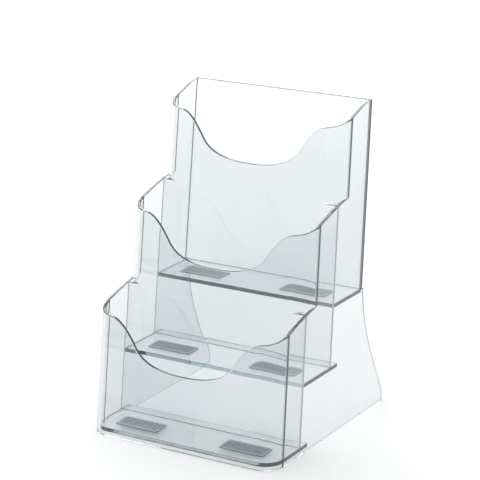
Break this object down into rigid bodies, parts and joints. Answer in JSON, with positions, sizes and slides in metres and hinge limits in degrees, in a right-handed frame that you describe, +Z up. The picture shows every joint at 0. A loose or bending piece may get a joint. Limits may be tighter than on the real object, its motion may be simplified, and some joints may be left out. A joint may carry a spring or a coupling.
{
  "type": "brochure holder",
  "caption": "Clear tiered counter stand with leaning pockets for upright booklets, scooped pocket fronts, stepped side panels and an open hollow behind.",
  "frame": {"origin": "on the table, in the middle of the holder's footprint box", "axes": "+Z up, the pockets face -Y, X runs across with +X on the viewer's right when the viewer faces the pockets"},
  "size_m": [0.165, 0.178, 0.2525],
  "materials": {
    "clear_styrene": "clear, high gloss, with a faint blue-green tint at the edges",
    "frosted_pad": "frosted, with a fine raised diamond hatch"
  },
  "bodies": {
    "root": {"left_side_panel": "clear_styrene", "right_side_panel": "clear_styrene", "front_wall": "clear_styrene", "middle_wall": "clear_styrene", "rear_wall": "clear_styrene", "front_floor": "clear_styrene", "middle_floor": "clear_styrene", "rear_floor": "clear_styrene", "back_wall": "clear_styrene", "front_left_pad": "frosted_pad", "front_right_pad": "frosted_pad", "middle_left_pad": "frosted_pad", "middle_right_pad": "frosted_pad", "rear_left_pad": "frosted_pad", "rear_right_pad": "frosted_pad"}
  },
  "joints": []
}
